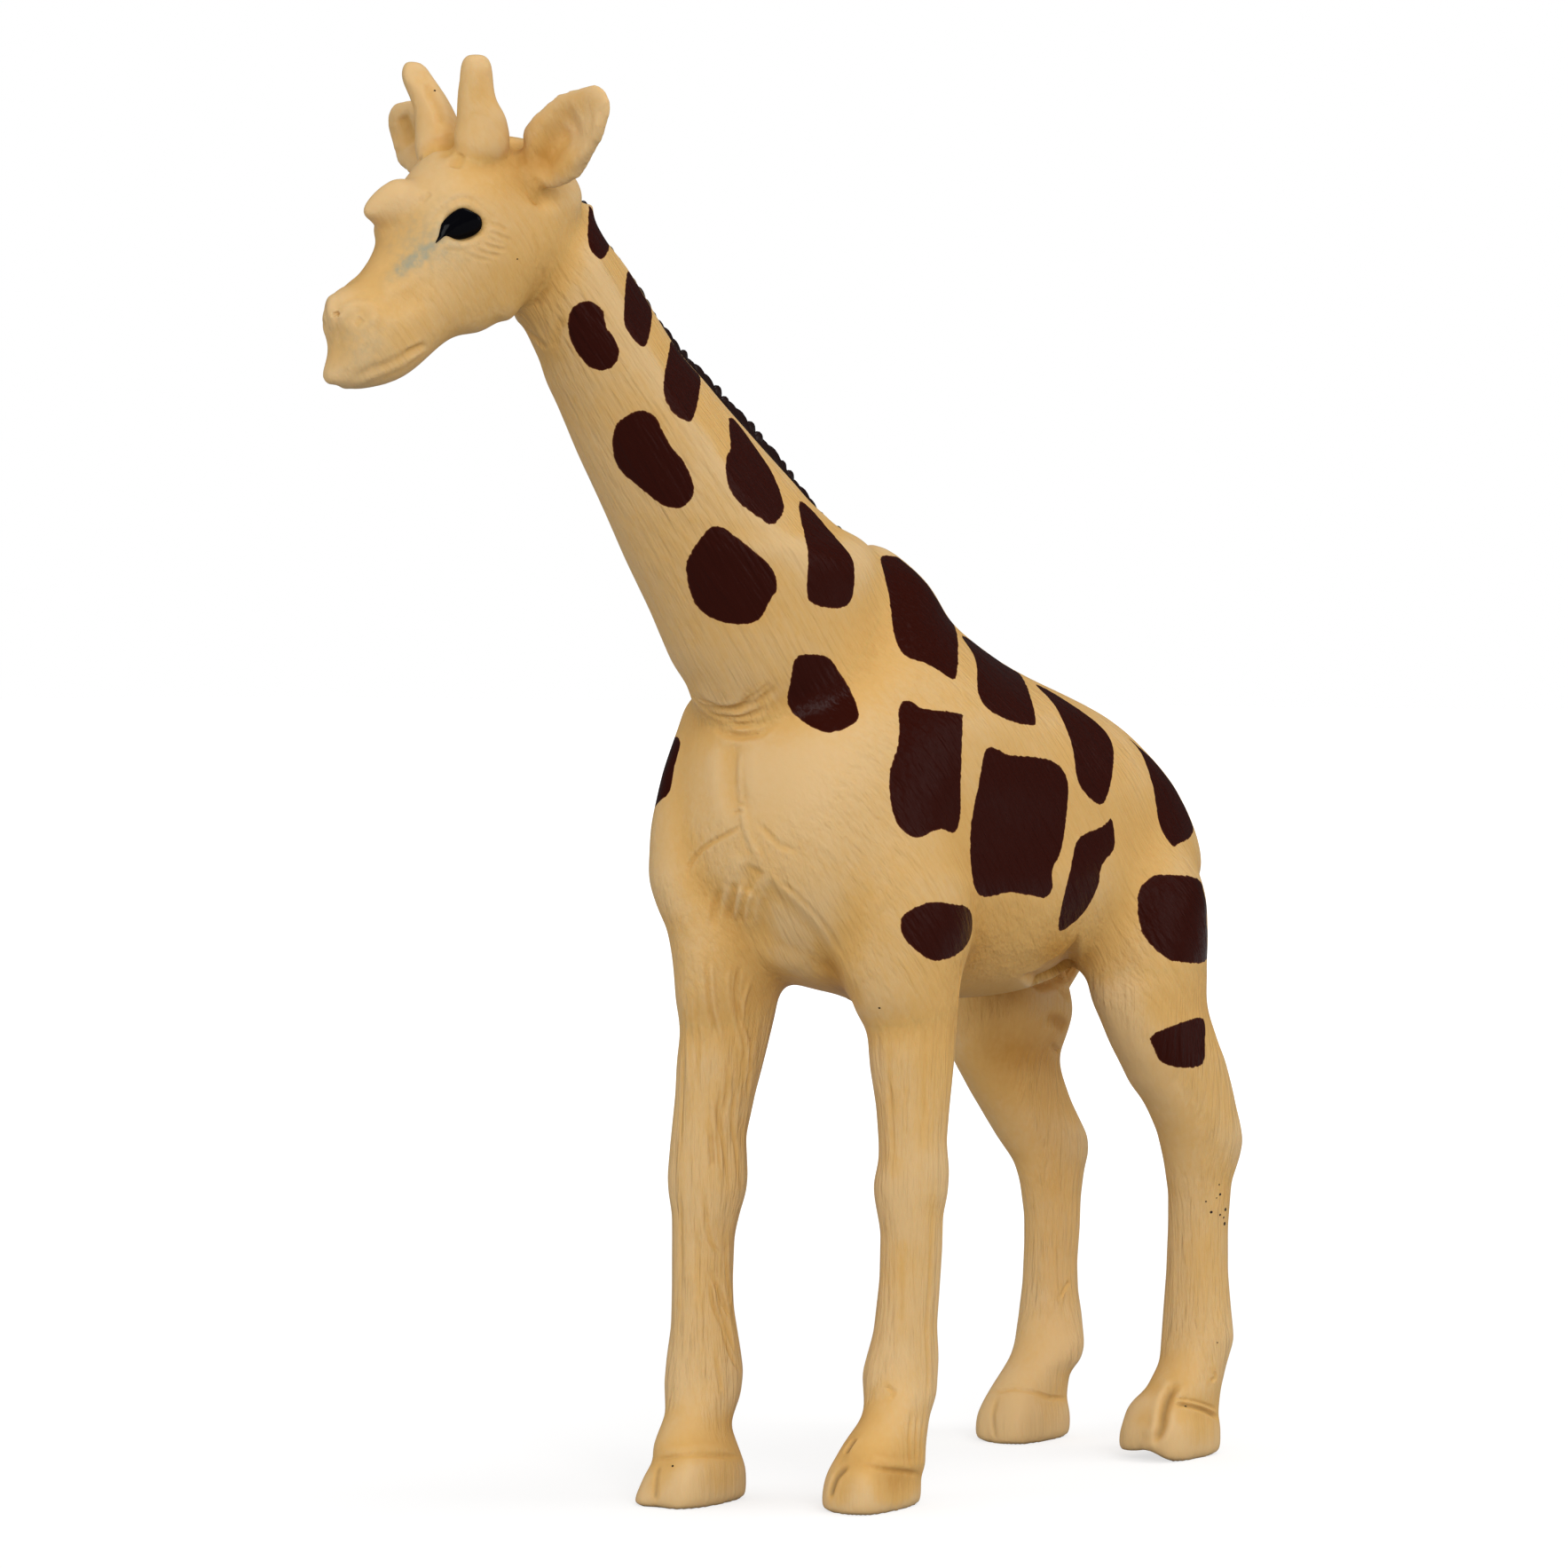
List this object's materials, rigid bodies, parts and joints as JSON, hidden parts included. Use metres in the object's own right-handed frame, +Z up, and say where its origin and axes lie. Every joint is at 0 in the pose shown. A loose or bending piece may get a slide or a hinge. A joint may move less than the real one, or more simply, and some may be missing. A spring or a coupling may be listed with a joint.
{
  "type": "toy giraffe figure",
  "caption": "Standing giraffe play figure in soft moulded vinyl, with painted coat patches, upright ossicones and cloven hooves",
  "frame": {"origin": "on the ground under the middle of the figure's box", "axes": "+Z up; the figure faces -Y and its left side is towards +X"},
  "size_m": [0.0394, 0.1514, 0.1683],
  "materials": {
    "cream_vinyl": "soft satin with fine moulded hair grooves",
    "brown_paint": "semi-gloss paint",
    "black_paint": "gloss paint"
  },
  "bodies": {
    "root": {"torso": "cream_vinyl", "neck": "cream_vinyl", "head": "cream_vinyl", "ear_left": "cream_vinyl", "ear_right": "cream_vinyl", "ossicone_left": "cream_vinyl", "ossicone_right": "cream_vinyl", "fore_leg_left": "cream_vinyl", "fore_leg_right": "cream_vinyl", "hind_leg_left": "cream_vinyl", "hind_leg_right": "cream_vinyl", "tail": "cream_vinyl", "tail_tuft": "cream_vinyl", "mane": "brown_paint", "thigh_patch_left": "brown_paint", "thigh_patch_right": "brown_paint", "neck_patch_left_1": "brown_paint", "neck_patch_left_2": "brown_paint", "neck_patch_left_3": "brown_paint", "neck_patch_left_4": "brown_paint", "neck_patch_left_5": "brown_paint", "neck_patch_left_6": "brown_paint", "neck_patch_left_7": "brown_paint", "trunk_patch_left_1": "brown_paint", "trunk_patch_left_2": "brown_paint", "trunk_patch_left_3": "brown_paint", "trunk_patch_left_4": "brown_paint", "trunk_patch_left_5": "brown_paint", "trunk_patch_left_6": "brown_paint", "trunk_patch_left_7": "brown_paint", "trunk_patch_left_8": "brown_paint", "trunk_patch_left_9": "brown_paint", "neck_patch_right_1": "brown_paint", "neck_patch_right_2": "brown_paint", "neck_patch_right_3": "brown_paint", "neck_patch_right_4": "brown_paint", "neck_patch_right_5": "brown_paint", "neck_patch_right_6": "brown_paint", "neck_patch_right_7": "brown_paint", "trunk_patch_right_1": "brown_paint", "trunk_patch_right_2": "brown_paint", "trunk_patch_right_3": "brown_paint", "trunk_patch_right_4": "brown_paint", "trunk_patch_right_5": "brown_paint", "trunk_patch_right_6": "brown_paint", "trunk_patch_right_7": "brown_paint", "trunk_patch_right_8": "brown_paint", "trunk_patch_right_9": "brown_paint", "eye_left": "black_paint", "eye_right": "black_paint"}
  },
  "joints": []
}
